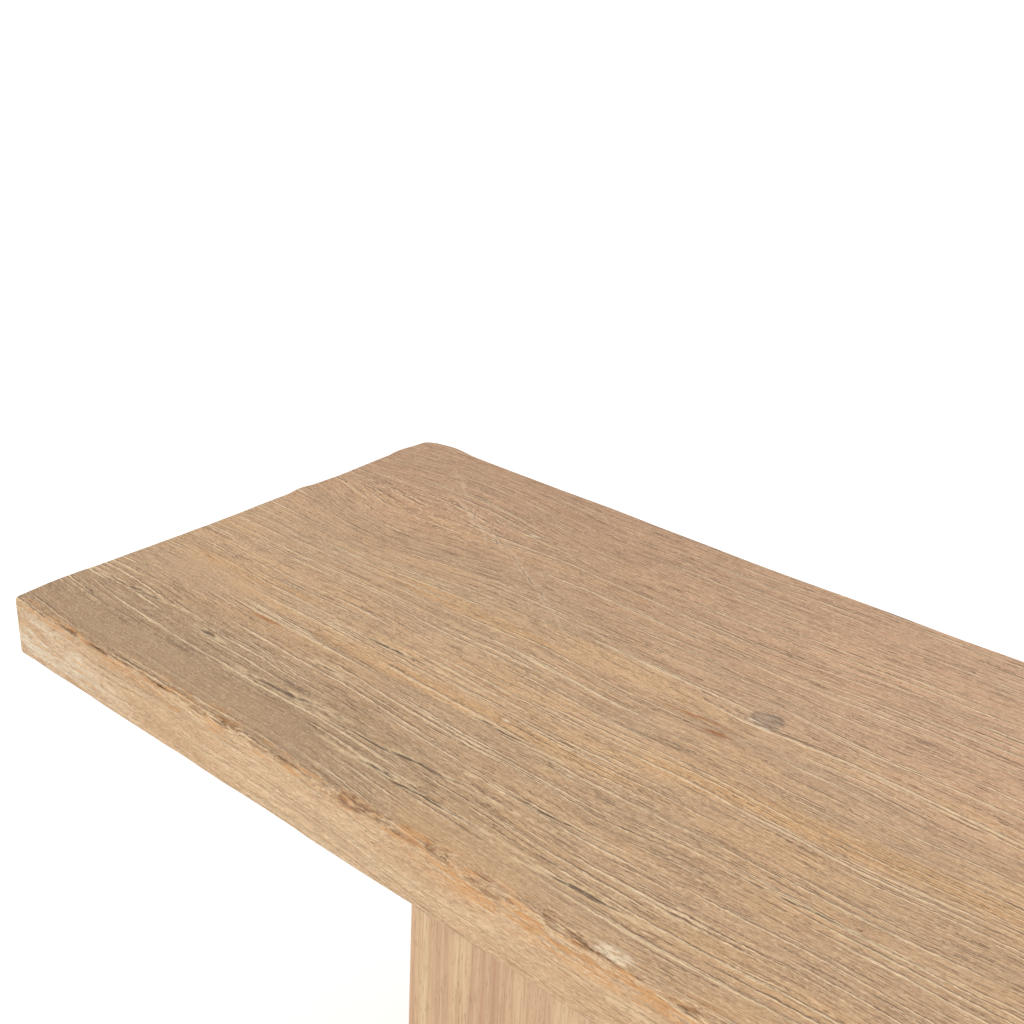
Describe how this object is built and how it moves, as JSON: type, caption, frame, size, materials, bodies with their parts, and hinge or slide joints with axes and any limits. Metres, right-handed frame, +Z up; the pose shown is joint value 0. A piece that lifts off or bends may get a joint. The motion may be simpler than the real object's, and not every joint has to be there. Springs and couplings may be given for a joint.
{
  "type": "backless bench",
  "caption": "Backless bench with a thick weathered elm plank seat on wide hollow block legs of mitred boards, set in from the ends and flush with the long sides.",
  "frame": {"origin": "on the floor, under the middle of the seat", "axes": "+X along the seat's length, +Z up, the front long side faces -Y"},
  "size_m": [1.83, 0.4, 0.457],
  "materials": {
    "seat_elm": "reclaimed elm, wire-brushed along the grain, bleached and dry, no gloss",
    "leg_elm": "reclaimed elm, sanded smooth, pale and matt",
    "pine": "planed pine, unfinished",
    "beech": "sawn beech, unfinished",
    "zinc_steel": "bright zinc-plated steel",
    "nylon": "dark brown moulded nylon"
  },
  "bodies": {
    "root": {"seat_plank": "seat_elm", "left_front_board": "leg_elm", "left_back_board": "leg_elm", "left_outer_board": "leg_elm", "left_inner_board": "leg_elm", "left_spline_front_outer": "beech", "left_spline_front_inner": "beech", "left_spline_back_outer": "beech", "left_spline_back_inner": "beech", "left_glue_block_front_outer": "pine", "left_glue_block_front_inner": "pine", "left_glue_block_back_outer": "pine", "left_glue_block_back_inner": "pine", "left_outer_cleat": "pine", "left_inner_cleat": "pine", "left_outer_foot_rail": "pine", "left_inner_foot_rail": "pine", "left_cleat_screws": "zinc_steel", "left_rail_screws": "zinc_steel", "left_seat_screws": "zinc_steel", "left_seat_washers": "zinc_steel", "left_glides": "nylon", "left_glide_nails": "zinc_steel", "right_front_board": "leg_elm", "right_back_board": "leg_elm", "right_outer_board": "leg_elm", "right_inner_board": "leg_elm", "right_spline_front_outer": "beech", "right_spline_front_inner": "beech", "right_spline_back_outer": "beech", "right_spline_back_inner": "beech", "right_glue_block_front_outer": "pine", "right_glue_block_front_inner": "pine", "right_glue_block_back_outer": "pine", "right_glue_block_back_inner": "pine", "right_outer_cleat": "pine", "right_inner_cleat": "pine", "right_outer_foot_rail": "pine", "right_inner_foot_rail": "pine", "right_cleat_screws": "zinc_steel", "right_rail_screws": "zinc_steel", "right_seat_screws": "zinc_steel", "right_seat_washers": "zinc_steel", "right_glides": "nylon", "right_glide_nails": "zinc_steel"}
  },
  "joints": []
}
